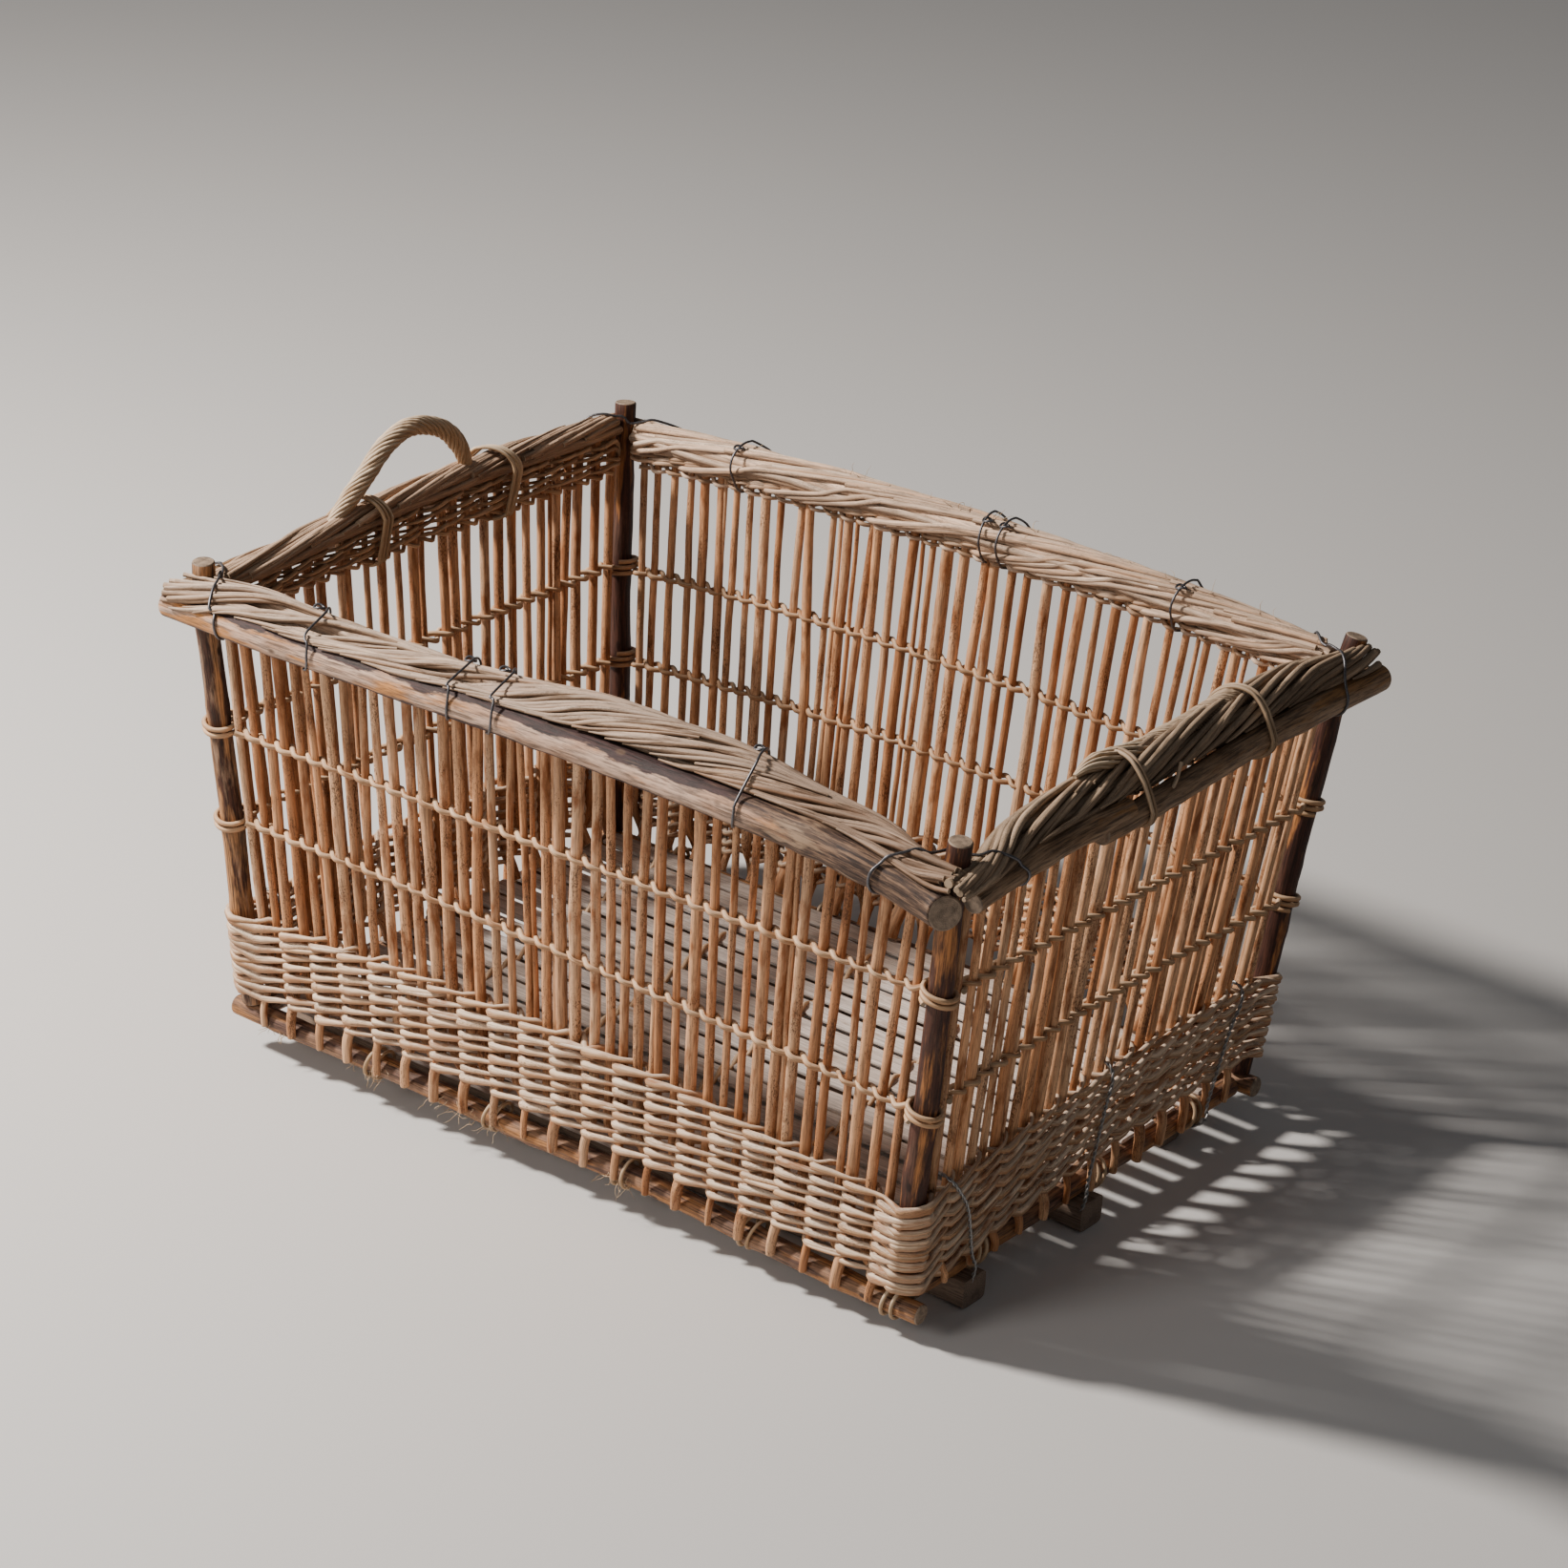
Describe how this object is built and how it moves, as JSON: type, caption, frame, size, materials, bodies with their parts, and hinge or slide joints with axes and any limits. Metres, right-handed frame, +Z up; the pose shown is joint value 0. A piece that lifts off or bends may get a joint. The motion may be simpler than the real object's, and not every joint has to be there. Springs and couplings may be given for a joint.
{
  "type": "rectangular wicker basket",
  "caption": "Large rectangular openwork willow basket with flared sides, a woven lower band, a pole rim, rope handles and ground runners.",
  "frame": {"origin": "middle of the footprint, on the ground under the runners", "axes": "+X along the long side to the right, +Y from the front to the back, +Z up"},
  "size_m": [1.1168, 0.8286, 0.6789],
  "materials": {
    "bark": "dark smooth bark, worn in places",
    "weathered_pole": "weathered thin bark, streaked",
    "willow": "unpeeled orange-brown willow",
    "peeled_willow": "pale dry willow",
    "grey_willow": "grey-brown willow",
    "split_wood": "dry grey split wood",
    "iron_wire": "dark annealed wire"
  },
  "bodies": {
    "root": {"post_front_left": "bark", "post_back_left": "bark", "post_front_right": "bark", "post_back_right": "bark", "base_pole_front": "bark", "base_pole_right": "bark", "base_pole_back": "bark", "base_pole_left": "bark", "rim_pole_front": "weathered_pole", "rim_pole_right": "weathered_pole", "rim_pole_back": "weathered_pole", "rim_pole_left": "weathered_pole", "wall_front": "willow", "wall_right": "willow", "wall_back": "willow", "wall_left": "willow", "pairing_upper_front": "peeled_willow", "pairing_upper_right": "peeled_willow", "pairing_upper_back": "peeled_willow", "pairing_upper_left": "peeled_willow", "pairing_lower_front": "peeled_willow", "pairing_lower_right": "peeled_willow", "pairing_lower_back": "peeled_willow", "pairing_lower_left": "peeled_willow", "handle_left": "peeled_willow", "handle_right": "peeled_willow", "top_weave_front": "grey_willow", "top_weave_right": "grey_willow", "top_weave_back": "grey_willow", "top_weave_left": "grey_willow", "border_front": "grey_willow", "border_right": "grey_willow", "border_back": "grey_willow", "border_left": "grey_willow", "floor": "split_wood", "runner_front": "split_wood", "runner_middle": "split_wood", "runner_back": "split_wood", "rim_tie_front_1": "iron_wire", "rim_tie_front_2": "iron_wire", "rim_tie_front_3": "iron_wire", "rim_tie_front_4": "iron_wire", "rim_tie_back_1": "iron_wire", "rim_tie_back_2": "iron_wire", "rim_tie_back_3": "iron_wire", "rim_tie_back_4": "iron_wire", "corner_tie_front_right": "iron_wire", "corner_tie_back_right": "iron_wire", "corner_tie_back_left": "iron_wire", "corner_tie_front_left": "iron_wire", "runner_tie_front_right": "iron_wire", "runner_tie_middle_right": "iron_wire", "runner_tie_back_right": "iron_wire", "runner_tie_front_left": "iron_wire", "runner_tie_middle_left": "iron_wire", "runner_tie_back_left": "iron_wire"}
  },
  "joints": []
}
